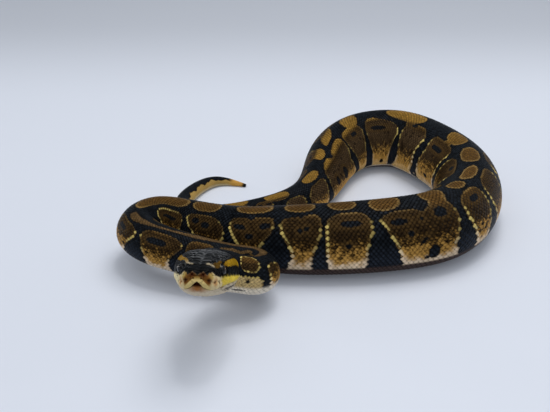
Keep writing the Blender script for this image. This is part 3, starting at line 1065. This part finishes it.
def scale_pattern():
    """One scale as a small closed dome on a rounded lozenge: its points and faces."""
    mesh = bmesh.new()
    bmesh.ops.create_grid(mesh, x_segments=4, y_segments=4, size=1.0)
    for vertex in mesh.verts:
        x, y = vertex.co.x, vertex.co.y
        along, across = x * math.sqrt(1.0 - y * y / 2.0), y * math.sqrt(1.0 - x * x / 2.0)
        size = math.hypot(along, across)
        if size > 1e-6:
            lozenge = (abs(along / size) ** LOZENGE + abs(across / size) ** LOZENGE) ** (-1.0 / LOZENGE)
            along, across = along * lozenge, across * lozenge
        dome = 1.0 - min(size, 1.0) ** 3
        rear = (along + 1.0) / 2.0
        vertex.co = Vector((along, across, -0.06 + 0.17 * rear + 0.16 * dome))
    return closed_pattern(mesh)


def scale_pitch(girth):
    """Distance from one scale to the next along the body, in millimetres."""
    look = bpy.context.scene.python_look
    share = SMALLEST_STEP + (1.0 - SMALLEST_STEP) * (girth / FULL_GIRTH)
    return share * look.scale_pitch / MM


def stations(first, last, share, head_girth=None):
    """Distances of rows that run round the body, one share of the pattern's step apart."""
    found = [first]
    while found[-1] < last:
        girth = float(BODY.radius_at(np.array([max(found[-1], 0.0)]))[0])
        if head_girth and found[-1] < 0.0:
            girth = head_girth
        found.append(found[-1] + scale_pitch(girth) * share)
    return np.array(found)


def row_weights(distance):
    """Width of each row beside the spine as a share, by distance: rows fade where they end."""
    rows = np.arange(SIDE_ROWS + 1)
    weights = 1.0 + 0.5 * smooth_step(rows, 21.0, 30.0)
    weights[0] = 0.5
    weights = np.repeat(weights[None, :], len(distance), axis=0)
    for row, start, end in ROW_ENDS:
        gone = smooth_step(distance, start - ROW_FADE, start) * fade_out(distance, end, end + ROW_FADE)
        weights[:, row:row + 2] *= 1.0 - gone[:, None]
    return weights


def back_span(distance):
    """Half the angle that back and flank scales cover: nearly all round on the head."""
    return HEAD_SPAN - (HEAD_SPAN - BACK_SPAN) * smooth_step(distance, -10.0, 8.0)


def coat_start(degrees):
    """Distance behind the snout where the scales begin."""
    return table_at(COAT_START, np.abs(degrees))[0]


def scale_seats():
    """Centre, angle, half length and half width in degrees of every scale on the back and flanks."""
    rings = stations(FIRST_SCALES, BODY.length - 0.6, 1.0, head_girth=HEAD_SCALES)
    steps = np.arange(len(rings))
    found = []
    for row in range(-SIDE_ROWS, SIDE_ROWS + 1):
        distance = np.interp(steps + (0.5 if row % 2 else 0.0), steps, rings)
        weights = row_weights(distance)
        edges = np.cumsum(weights, axis=1)
        side_row = abs(row)
        own = weights[:, side_row]
        middle = edges[:, side_row] - own / 2.0 if side_row else np.zeros(len(distance))
        own = own * 2.0 if side_row == 0 else own
        share = back_span(distance) / edges[:, -1]
        angle = np.sign(row) * middle * share
        keep = (distance > coat_start(angle) - HEAD_LENGTH) & (distance < BODY.length - 0.5) & (own > 0.5)
        found.append(np.column_stack((distance, angle, np.gradient(distance), own * share))[keep])
    return np.vstack(found)


def join_copies(name, points, faces, colours, patches):
    """One mesh from many copies of a pattern: points and colours are copies by corners by 3."""
    copies, corners = points.shape[:2]
    order = np.concatenate([np.array(face) for face in faces])
    sizes = np.array([len(face) for face in faces])
    loops = (order + (np.arange(copies) * corners)[:, None]).ravel()
    totals = np.tile(sizes, copies)
    starts = np.concatenate(([0], np.cumsum(totals)[:-1]))
    data = bpy.data.meshes.new(name)
    data.vertices.add(copies * corners)
    data.vertices.foreach_set("co", (points * MM).astype(np.float32).ravel())
    data.loops.add(len(loops))
    data.loops.foreach_set("vertex_index", loops.astype(np.int32))
    data.polygons.add(len(totals))
    data.polygons.foreach_set("loop_start", starts.astype(np.int32))
    layer = data.color_attributes.new("skin_colour", "FLOAT_COLOR", "POINT")
    shades = np.ones((copies, corners, 4), dtype=np.float32)
    shades[..., :3] = colours
    layer.data.foreach_set("color", shades.ravel())
    bake = data.uv_layers.new(name="OFBake")
    bake.data.foreach_set("uv", patches[:, order].astype(np.float32).ravel())
    data.update(calc_edges=True)
    data.validate()
    data.shade_smooth()
    return link(name, data)


def scale_corners(seats, pattern):
    """Distance and angle of each corner of every scale."""
    along = seats[:, 0, None] + pattern[:, 0] * (seats[:, 2, None] * SCALE_REACH)
    return np.minimum(along, BODY.length - BODY_END), seats[:, 1, None] + pattern[:, 1] * seats[:, 3, None]


def lay_scales(seats, pattern):
    """Corner points of every scale, laid on the flesh at its seat."""
    distance, _, _, half_width = seats.T
    size = np.clip(np.radians(half_width) * BODY.radius_at(distance), 0.25, 2.2)
    small = fade_out(distance, -16.0, -4.0)
    lift = np.minimum(size, FULL_SCALE) / FULL_SCALE * 1.05 * (1.0 - 0.35 * small)
    height = pattern[:, 2] * lift[:, None] - skin_depth(distance)[:, None]
    return BODY.place(*scale_corners(seats, pattern), height)


def bake_patches(pattern, seats, start, end):
    """A small patch for each scale, at its place on the unrolled skin."""
    along = (seats[:, 0] - start) / (end - start)
    round_body = (seats[:, 1] + 180.0) / 360.0
    middle = 0.02 + 0.96 * np.column_stack((along, round_body))
    return middle[:, None, :] + pattern[:, :2] * PATCH_HALF


def make_scales():
    """All the scales of back and flanks, in joined pieces, each corner with its own colour."""
    pattern, faces = scale_pattern()
    size = (np.abs(pattern[:, 0]) ** LOZENGE + np.abs(pattern[:, 1]) ** LOZENGE) ** (1.0 / LOZENGE)
    seats = scale_seats()
    random = np.random.default_rng(SCALE_SEED)
    luck = random.random(len(seats))
    corner_luck = random.random(len(pattern))
    made = []
    for name, start, end in COAT_PIECES:
        chosen = (seats[:, 0] >= start) & (seats[:, 0] < end)
        part = seats[chosen]
        along, degrees = scale_corners(part, pattern)
        own_luck = luck[chosen][:, None] + np.zeros(len(pattern))
        fleck = (luck[chosen][:, None] * 31.7 + corner_luck) % 1.0
        own = blotch_depth(part[:, 0], part[:, 1], BODY.radius_at(part[:, 0]))
        own = [np.repeat(values[:, None], len(pattern), axis=1) for values in own]
        colours = markings(along, degrees, own_luck, fleck, own)
        bright = colours.mean(axis=(1, 2))[:, None]
        dark = fade_out(bright, 0.006, 0.03)
        shade = 1.12 - 0.62 * smooth_step(bright, 0.02, 0.40) + 0.6 * dark
        tones = 1.28 + 0.6 * dark + 0.18 * pattern[:, 0] - shade * size ** 1.6
        sheen = dark * np.clip(1.0 - size, 0.0, 1.0) ** 1.5 * (0.4 + 1.2 * own_luck)
        sheen = sheen * (colours[..., 0] < colours[..., 2])
        sheen = sheen * (0.35 + 0.65 * smooth_step(np.abs(degrees), 70.0, 105.0))
        colours = colours * tones[..., None] + sheen[..., None] * SHEEN
        patches = bake_patches(pattern, part, start, end)
        made.append(join_copies(name, lay_scales(part, pattern), faces, colours, patches))
    return made


# Belly plates ----------------------------------------------------------------------------------

BELLY_PITCH_SHARE = 1.3
PLATE_COLUMNS = 10
PLATE_REACH = 0.60       # half length of a plate as a share of its step
BELLY_SEED = 5


def belly_pattern():
    """One broad plate as a shallow closed strip: front edge sunk, rear edge free."""
    mesh = bmesh.new()
    bmesh.ops.create_grid(mesh, x_segments=3, y_segments=PLATE_COLUMNS, size=1.0)
    for vertex in mesh.verts:
        along, across = vertex.co.x, vertex.co.y
        bow = 0.55 * (1.0 - across * across)
        rim = 1.0 - abs(across) ** 6
        height = -0.05 + 0.20 * (along + 1.0) / 2.0 + 0.06 * rim * (1.0 - along ** 4)
        vertex.co = Vector((along + bow * (0.35 + 0.35 * along), across, height * (0.35 + 0.65 * rim)))
    return closed_pattern(mesh)


def make_belly():
    """The broad plates under the body, pale in the middle and dark at their ends."""
    pattern, faces = belly_pattern()
    distance = stations(-3.0, BODY.length - 1.5, BELLY_PITCH_SHARE)
    span = 180.0 - back_span(distance) + 2.5
    along = distance[:, None] + pattern[:, 0] * (np.gradient(distance) * PLATE_REACH)[:, None]
    degrees = 180.0 + pattern[:, 1] * span[:, None]
    lift = np.clip(BODY.radius_at(distance) / FULL_GIRTH, 0.2, 1.0)
    height = pattern[:, 2] * lift[:, None] * 1.2 - skin_depth(distance)[:, None]
    points = BODY.place(np.minimum(along, BODY.length - BODY_END), degrees, height)
    luck = np.random.default_rng(BELLY_SEED).random(len(distance))
    edge = smooth_step(np.abs(pattern[:, 1]), 0.30, 0.62)
    plain = toned(BELLY, 0.85 + 0.2 * luck)[:, None, :]
    colours = blend(plain, PLATE_EDGE, edge) * (0.8 + 0.2 * pattern[:, 0, None])
    seats = np.column_stack((distance, 0.0 * distance))
    patches = bake_patches(pattern, seats, distance[0], distance[-1] + 1.0)
    return join_copies("belly_plates", points, faces, colours, patches)


# Eyes ------------------------------------------------------------------------------------------

def make_eye(name, side):
    """A round eyeball under its clear spectacle, with the place on its face kept as a map."""
    mesh = bmesh.new()
    bmesh.ops.create_uvsphere(mesh, u_segments=48, v_segments=32, radius=EYE_RADIUS)
    bmesh.ops.rotate(mesh, verts=mesh.verts, matrix=Matrix.Rotation(side * math.pi / 2.0, 3, "Y"))
    uv = mesh.loops.layers.uv.new("eye_face")
    for face in mesh.faces:
        for loop in face.loops:
            loop[uv].uv = loop.vert.co.yz / (2.0 * EYE_RADIUS) + Vector((0.5, 0.5))
    centre = np.array((side * EYE_CENTRE[0], EYE_CENTRE[1] - HEAD_LENGTH, EYE_CENTRE[2]))
    turn = Matrix(BODY.head.tolist())
    seat = turn @ Vector(centre) + Vector(NAPE)
    bmesh.ops.transform(mesh, verts=mesh.verts, matrix=turn.to_4x4())
    bmesh.ops.translate(mesh, verts=mesh.verts, vec=seat)
    bmesh.ops.scale(mesh, verts=mesh.verts, vec=(MM, MM, MM))
    return finished(name, mesh)


# Materials -------------------------------------------------------------------------------------

BUMP_DEPTH = 0.00004
IRIS = (0.012, 0.009, 0.008, 1.0)
BRONZE = (0.085, 0.050, 0.020, 1.0)
PUPIL = (0.002, 0.002, 0.002, 1.0)
EYE_RIM = (0.006, 0.006, 0.007, 1.0)


def feed(tree, node, inputs):
    """Set inputs of a node to values, or link them to other nodes' outputs."""
    for name, value in inputs.items():
        if isinstance(value, bpy.types.NodeSocket):
            tree.links.new(value, node.inputs[name])
        else:
            node.inputs[name].default_value = value


def add_node(tree, kind, inputs, **settings):
    """A shader node with its settings and inputs."""
    node = tree.nodes.new("ShaderNode" + kind)
    for name, value in settings.items():
        setattr(node, name, value)
    feed(tree, node, inputs)
    return node


def remap(tree, value, low, high, to_low=0.0, to_high=1.0, **settings):
    """A value carried from one range to another."""
    limits = {"From Min": low, "From Max": high, "To Min": to_low, "To Max": to_high}
    return add_node(tree, "MapRange", {"Value": value, **limits}, **settings).outputs["Result"]


def mix(tree, share, first, second, **settings):
    """Two colours mixed by a share of the second."""
    inputs = {"Factor": share, "A": first, "B": second}
    return add_node(tree, "Mix", inputs, data_type="RGBA", **settings).outputs["Result"]


def noise(tree, scale, detail):
    """Noise on the model's own coordinates."""
    place = add_node(tree, "TexCoord", {}).outputs["Object"]
    return add_node(tree, "TexNoise", {"Vector": place, "Scale": scale, "Detail": detail}).outputs["Fac"]


def distance_from_middle(tree, place):
    """Length of a vector."""
    return add_node(tree, "VectorMath", {0: place}, operation="LENGTH").outputs["Value"]


def new_material(name):
    """A material with its node tree and its shader."""
    material = bpy.data.materials.new(name)
    material.use_nodes = True
    return material, material.node_tree, material.node_tree.nodes["Principled BSDF"]


def hide_grain_group():
    """Node group: fine striation and a slow drift of tone for horny skin."""
    group = bpy.data.node_groups.new("hide_grain", "ShaderNodeTree")
    for way, name, kind in (
        ("INPUT", "Colour", "Color"), ("INPUT", "Size", "Float"), ("INPUT", "Amount", "Float"),
        ("OUTPUT", "Colour", "Color"), ("OUTPUT", "Height", "Float"), ("OUTPUT", "Roughness", "Float"),
    ):
        group.interface.new_socket(name=name, in_out=way, socket_type="NodeSocket" + kind)
    source = group.nodes.new("NodeGroupInput").outputs
    target = group.nodes.new("NodeGroupOutput")
    grain = noise(group, source["Size"], 3.0)
    tone = remap(group, noise(group, 60.0, 2.0), 0.3, 0.7, 0.8, 1.2)
    fine = remap(group, grain, 0.3, 0.7, 0.82, 1.14)
    both = add_node(group, "Math", {0: tone, 1: fine}, operation="MULTIPLY").outputs["Value"]
    shade = mix(group, source["Amount"], source["Colour"], both, blend_type="MULTIPLY")
    rough = remap(group, grain, 0.0, 1.0, 0.26, 0.44)
    feed(group, target, {"Colour": shade, "Height": grain, "Roughness": rough})
    return group


def grained_material(name, size, amount, bump, gloss):
    """Horny skin: the markings kept on the mesh, with the shared grain."""
    material, tree, shader = new_material(name)
    group = bpy.data.node_groups.get("hide_grain") or hide_grain_group()
    marks = add_node(tree, "Attribute", {}, attribute_name="skin_colour").outputs["Color"]
    grain = add_node(tree, "Group", {}, node_tree=group)
    feed(tree, grain, {"Colour": marks, "Size": size, "Amount": amount})
    height = grain.outputs["Height"]
    relief = add_node(tree, "Bump", {"Strength": bump, "Distance": BUMP_DEPTH, "Height": height})
    feed(tree, shader, {
        "Base Color": grain.outputs["Colour"], "Roughness": grain.outputs["Roughness"],
        "Normal": relief.outputs["Normal"], "Specular IOR Level": gloss,
    })
    return material


def eye_material():
    """Near-black iris with a faint bronze upper arc and an upright slit, under a wet spectacle."""
    material, tree, shader = new_material("eye_wet")
    face = add_node(tree, "UVMap", {}, uv_map="eye_face").outputs["UV"]
    place = add_node(tree, "Mapping", {"Vector": face, "Location": (-0.5, -0.5, 0.0)}).outputs["Vector"]
    squeezed = add_node(tree, "Mapping", {"Vector": place, "Scale": (3.4, 1.0, 1.0)}).outputs["Vector"]
    height = add_node(tree, "SeparateXYZ", {"Vector": place}).outputs["Y"]
    upper = remap(tree, height, 0.05, 0.22)
    slit = remap(tree, distance_from_middle(tree, squeezed), 0.24, 0.20)
    outside = remap(tree, distance_from_middle(tree, place), 0.30, 0.36)
    colour = mix(tree, upper, IRIS, BRONZE)
    colour = mix(tree, slit, colour, PUPIL)
    colour = mix(tree, outside, colour, EYE_RIM)
    feed(tree, shader, {
        "Base Color": colour, "Roughness": 0.12, "Specular IOR Level": 0.1,
        "Coat Weight": 0.4, "Coat Roughness": 0.04,
    })
    return material


def floor_material():
    """Pale matt floor, a little darker at the back, with a weak glow for the room's own light."""
    material, tree, shader = new_material("studio_floor")
    base = Vector(bpy.context.scene.python_look.floor_colour) * 0.88
    first, second, back = ((*(base * strength), 1.0) for strength in (0.985, 1.015, 0.76))
    tone = mix(tree, noise(tree, 2.0, 1.0), first, second)
    place = add_node(tree, "TexCoord", {}).outputs["Object"]
    behind = add_node(tree, "SeparateXYZ", {"Vector": place}).outputs["Y"]
    colour = mix(tree, remap(tree, behind, 0.20, 0.46, interpolation_type="SMOOTHSTEP"), tone, back)
    feed(tree, shader, {
        "Base Color": colour, "Emission Color": colour, "Emission Strength": 0.10,
        "Roughness": 0.42, "Specular IOR Level": 0.25,
    })
    return material


# Add-on ----------------------------------------------------------------------------------------

class PythonLook(bpy.types.PropertyGroup):
    """Sizes and colours of the model and its studio."""
    scale_pitch: bpy.props.FloatProperty(
        name="Scale pitch", description="Distance along the body between scales at full girth",
        default=0.00215, min=0.001, max=0.006, unit="LENGTH")
    grain_size: bpy.props.FloatProperty(
        name="Grain size", description="Frequency of the fine grain on skin and scales, per metre",
        default=1500.0, min=100.0, max=6000.0)
    floor_colour: bpy.props.FloatVectorProperty(
        name="Floor colour", description="Colour of the studio floor", subtype="COLOR",
        default=(0.725, 0.766, 0.866), min=0.0, max=1.0)


class PythonStage(bpy.types.PropertyGroup):
    """Camera and light of the studio."""
    lens: bpy.props.FloatProperty(
        name="Lens", description="Focal length of the camera in millimetres",
        default=53.67, min=10.0, max=200.0)
    camera_pitch: bpy.props.FloatProperty(
        name="Camera pitch", description="How far the camera looks down",
        default=math.radians(26.9), subtype="ANGLE")
    key_power: bpy.props.FloatProperty(
        name="Key light", description="Power in watts that the lights take their shares of",
        default=9.8, min=0.0)
    sky_strength: bpy.props.FloatProperty(
        name="Sky strength", description="Strength of the even light from all sides",
        default=0.34, min=0.0)


class PYTHONMODEL_OT_skin(bpy.types.Operator):
    """Make the one skin from snout to tail tip"""
    bl_idname = "python_model.skin"
    bl_label = "Skin"

    def execute(self, context):
        look = context.scene.python_look
        skin = make_skin()
        skin.data.materials.append(grained_material("head_and_skin", look.grain_size, 0.5, 0.35, 0.04))
        flesh = [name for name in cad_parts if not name.startswith("eye")]
        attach(skin, "root")
        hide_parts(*flesh)
        return {"FINISHED"}


class PYTHONMODEL_OT_scales(bpy.types.Operator):
    """Make the scales of back and flanks"""
    bl_idname = "python_model.scales"
    bl_label = "Scales"

    def execute(self, context):
        look = context.scene.python_look
        material = grained_material("scales_glossy", look.grain_size, 0.6, 0.2, 0.022)
        slots = ("neck_1", "forebody_1", "trunk_01", "trunk_06", "trunk_09", "trunk_12", "tail_1")
        for piece, slot in zip(make_scales(), slots):
            piece.data.materials.append(material)
            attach(piece, "root")
        return {"FINISHED"}


class PYTHONMODEL_OT_belly(bpy.types.Operator):
    """Make the broad plates of the belly and the tail's underside"""
    bl_idname = "python_model.belly"
    bl_label = "Belly plates"

    def execute(self, context):
        look = context.scene.python_look
        plates = make_belly()
        material = grained_material("belly_smooth", look.grain_size * 0.7, 0.35, 0.15, 0.2)
        plates.data.materials.append(material)
        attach(plates, "root")
        return {"FINISHED"}


class PYTHONMODEL_OT_eyes(bpy.types.Operator):
    """Make both eyes under their clear spectacles"""
    bl_idname = "python_model.eyes"
    bl_label = "Eyes"

    def execute(self, context):
        material = eye_material()
        for side, name in ((1.0, "eye_left"), (-1.0, "eye_right")):
            eye = make_eye(name + "_wet", side)
            eye.data.materials.append(material)
            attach(eye, "root")
            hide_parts(name)
        return {"FINISHED"}


HEAD_PLACE = (-0.06, -0.09, 0.035)
# Name, size, share of the key light's power, place and target of each light
LIGHTS = (
    ("key_light", (0.6, 0.6), 0.45, (0.20, 0.27, 1.0), (0.0, 0.0, 0.0)),
    ("fill_light", (2.0, 1.5), 0.55, (-0.05, -0.30, 1.0), (-0.05, -0.30, 0.0)),
    ("spark_light", (0.14, 0.14), 0.10, (0.03, 0.02, 1.0), (0.03, 0.02, 0.0)),
    ("eye_light", (0.05, 0.22), 0.13, (-0.96, 0.33, 0.135), HEAD_PLACE),
    ("eye_light", (0.05, 0.22), 0.07, (0.84, 0.33, 0.135), HEAD_PLACE),
)
LIGHT_COLOUR = (1.0, 0.985, 0.96)
SKY_COLOUR = (0.86, 0.93, 1.0, 1.0)
CAMERA_PLACE = (-0.024, -0.382, 0.212)


def area_light(name, size, power, place, target):
    """A soft light that stands at a place and shines towards a target."""
    data = bpy.data.lights.new(name, "AREA")
    data.shape = "RECTANGLE"
    data.size, data.size_y = size
    data.energy = power
    data.color = LIGHT_COLOUR
    light = link(name, data)
    light.location = place
    light.rotation_euler = (target - place).to_track_quat("-Z", "Y").to_euler()
    light.visible_camera = False


class PYTHONMODEL_OT_stage(bpy.types.Operator):
    """Set up the floor, the soft light and the camera"""
    bl_idname = "python_model.stage"
    bl_label = "Studio"

    def execute(self, context):
        stage = context.scene.python_stage
        mesh = bmesh.new()
        bmesh.ops.create_grid(mesh, x_segments=1, y_segments=1, size=3.0)
        floor = finished("studio_floor", mesh)
        floor.data.materials.append(floor_material())

        for name, size, share, place, target in LIGHTS:
            area_light(name, size, stage.key_power * share, Vector(place), Vector(target))

        world = bpy.data.worlds.new("studio_sky")
        world.use_nodes = True
        sky = world.node_tree.nodes["Background"]
        sky.inputs["Color"].default_value = SKY_COLOUR
        sky.inputs["Strength"].default_value = stage.sky_strength
        context.scene.world = world

        camera_data = bpy.data.cameras.new("camera")
        camera_data.sensor_width = 36.0
        camera_data.lens = stage.lens
        camera_data.clip_start = 0.01
        camera = link("camera", camera_data)
        camera.location = CAMERA_PLACE
        camera.rotation_euler = (math.pi / 2.0 - stage.camera_pitch, 0.0, 0.0)
        context.scene.camera = camera
        context.scene.view_settings.view_transform = "Standard"
        return {"FINISHED"}


class PYTHONMODEL_PT_panel(bpy.types.Panel):
    """Sizes, colours and building steps of the python"""
    bl_label = "Coiled Ball Python"
    bl_idname = "PYTHONMODEL_PT_panel"
    bl_space_type = "VIEW_3D"
    bl_region_type = "UI"
    bl_category = "Python"

    def draw(self, context):
        layout = self.layout
        look = context.scene.python_look
        stage = context.scene.python_stage
        for name in ("scale_pitch", "grain_size", "floor_colour"):
            layout.prop(look, name)
        for name in ("lens", "camera_pitch", "key_power", "sky_strength"):
            layout.prop(stage, name)
        for step in ("skin", "scales", "belly", "eyes", "stage"):
            layout.operator("python_model." + step)


CLASSES = (
    PythonLook, PythonStage, PYTHONMODEL_OT_skin, PYTHONMODEL_OT_scales, PYTHONMODEL_OT_belly,
    PYTHONMODEL_OT_eyes, PYTHONMODEL_OT_stage, PYTHONMODEL_PT_panel,
)


def register():
    for item in CLASSES:
        bpy.utils.register_class(item)
    bpy.types.Scene.python_look = bpy.props.PointerProperty(type=PythonLook)
    bpy.types.Scene.python_stage = bpy.props.PointerProperty(type=PythonStage)


def unregister():
    del bpy.types.Scene.python_stage
    del bpy.types.Scene.python_look
    for item in reversed(CLASSES):
        bpy.utils.unregister_class(item)


def main():
    register()
    bpy.ops.python_model.skin()
    bpy.ops.python_model.scales()
    bpy.ops.python_model.belly()
    bpy.ops.python_model.eyes()
    bpy.ops.python_model.stage()


if __name__ == "__main__":
    main()
